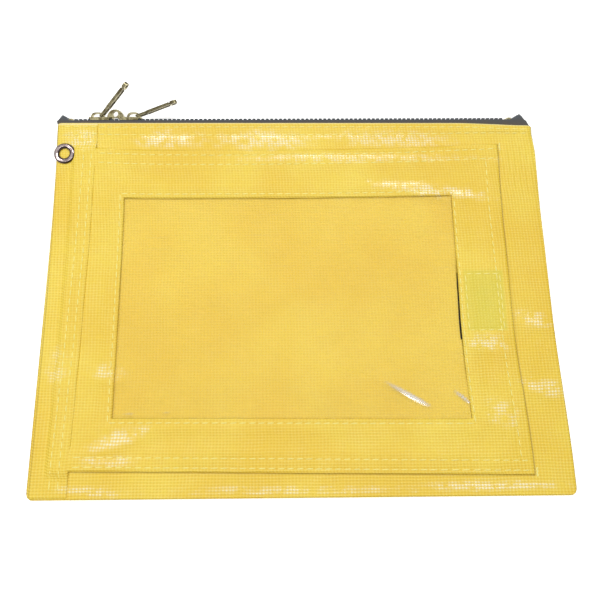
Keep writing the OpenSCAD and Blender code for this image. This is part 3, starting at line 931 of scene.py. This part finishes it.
def sewRow(bm, start, end, top, pitch=None, skew=None):
    pitch = pitch or stitch["pitch"]
    (x0, y0), (x1, y1) = start, end
    run = math.hypot(x1 - x0, y1 - y0)
    n = max(1, round(run / pitch))
    dx, dy = (x1 - x0) / run, (y1 - y0) / run
    tilt = math.tan(math.radians(stitch["skew"] if skew is None else skew))
    share = stitch["length"] / stitch["pitch"]
    for i in range(n):
        m = (i + 0.5) * run / n + random.uniform(-0.15, 0.15)
        h = run / n * share / 2
        ends = []
        for s, t in ((-h, -h * tilt), (h, h * tilt)):
            x, y = x0 + dx * (m + s) - dy * t, y0 + dy * (m + s) + dx * t
            ends.append(place(x, y, top(x, y) + 0.04))
        addStitch(bm, ends[0], ends[1], stitch["width"] * random.uniform(0.9, 1.1), stitch["height"])


def sewPiece(name, node, rows):
    bm = bmesh.new()
    for row in rows:
        sewRow(bm, *row)
    return finishPiece(bm, name, threadLook, "bag", [node])


def stripOrFace(x, y):
    return stripTop(x, y) if x < stripHigh.x else faceZ(x, y)


def sewLayer(name, node, layer, top):
    return sewPiece(name, node, [(start, end, top) for start, end in rows[layer]])


sewLayer("zipStitchingFront", "zip_stitching_front", "face", stripOrFace)
backRows = []
for y in (backY1, backY0):
    backRows += 2 * [((backX0, y), (backX1, y), lambda x, y: stitch["backZ"])]  # each row is sewn over twice
sewPiece("zipStitchingBack", "zip_stitching_back", backRows)
sewLayer("sideStripStitching", "side_strip_stitching", "strip", stripTop)
sewLayer("pocketStitching", "pocket_stitching", "pocket", pocketTop)
sewLayer("pocketHemStitching", "pocket_hem_stitching", "hem", pocketTop)
sewLayer("windowStitching", "window_stitching", "window", pocketTop)
sewLayer("patchStitching", "patch_stitching", "patch", pocketTop)


tack = {"length": 4, "rows": 9, "slant": 0.25, "pitch": 2.0, "skew": 8}


def tackRows(y0, y1):
    each = []
    for i in range(tack["rows"]):
        y = y0 + (y1 - y0) * i / (tack["rows"] - 1)
        each.append(((tackX0, y), (tackX1, y + tack["slant"]), faceZ, tack["pitch"], tack["skew"]))
    return each


lowTack, highTack = tackRows(tackY0, tackY0 + tack["length"]), tackRows(tackY1 - tack["length"], tackY1)
sewPiece("barTacks", "bar_tacks", lowTack + highTack)
print("stitching made")


ground = {"size": 3.0, "depth": 0.0002, "colour": (0.93, 0.93, 0.92, 1.0), "glow": 0.5}


def paleFloor(name):
    material, w = newMaterial(name)
    colour = ground["colour"]
    shader = w.node("BsdfPrincipled", None, {
        "Base Color": colour, "Roughness": 0.9, "Emission Color": colour,
        "Emission Strength": ground["glow"],
    })
    w.node("OutputMaterial", None, {"Surface": shader})
    return material


floorMesh = bmesh.new()
bmesh.ops.create_grid(floorMesh, x_segments=1, y_segments=1, size=ground["size"],
    matrix=Matrix.Translation((0, 0, -ground["depth"])))
floorData = bpy.data.meshes.new("floor")
floorMesh.to_mesh(floorData)
floorMesh.free()
floorData.materials.append(paleFloor("paleFloor"))
floor = bpy.data.objects.new("floor", floorData)
scene.collection.objects.link(floor)

view = {"lens": 34.17, "sensor": 36, "near": 0.005, "place": (-0.00565, -0.06919, 0.29716),
    "heading": -2.828, "tilt": 13.444, "roll": 2.401}
camera = bpy.data.objects.new("camera", bpy.data.cameras.new("camera"))
camera.data.lens = view["lens"]
camera.data.sensor_width = view["sensor"]
camera.location = view["place"]
camera.matrix_world = (
    Matrix.Translation(camera.location)
    @ Matrix.Rotation(math.radians(view["heading"]), 4, "Z")
    @ Matrix.Rotation(math.radians(view["tilt"]), 4, "X")
    @ Matrix.Rotation(math.radians(view["roll"]), 4, "Z")
)
camera.data.clip_start = view["near"]
scene.collection.objects.link(camera)
scene.camera = camera

world = bpy.data.worlds.new("studio")
scene.world = world
world.use_nodes = True
world.node_tree.nodes.clear()
sky = Wire(world.node_tree)
height = sky.node("SeparateXYZ", None, {0: sky.node("TexCoord", out=0)}, out=2)
glow = sky.node("Background", None, {
    0: (1.0, 1.0, 1.0, 1.0), 1: 0.12 + height.over(0.1, 0.9) * 0.52,
})
sky.node("OutputWorld", None, {0: glow})


def areaLight(name, where, aim, size, power):
    lamp = bpy.data.lights.new(name, "AREA")
    lamp.shape = "RECTANGLE"
    lamp.size, lamp.size_y = size
    lamp.energy = power
    made = bpy.data.objects.new(name, lamp)
    made.location = where
    made.rotation_euler = (Vector(aim) - Vector(where)).to_track_quat("-Z", "Y").to_euler()
    scene.collection.objects.link(made)


areaLight("overhead", (0.02, 0.42, 0.72), (0, 0.05, 0), (0.85, 0.11), 2.6)
areaLight("frontStrip", (0.05, -0.3, 0.72), (0, -0.1, 0), (0.85, 0.07), 1.2)
areaLight("leftKey", (-0.55, 0.0, 0.5), (0, 0, 0), (0.3, 0.3), 0.9)
areaLight("rightFill", (0.5, 0.42, 0.7), (0, 0, 0), (0.25, 0.25), 0.4)

print("done")
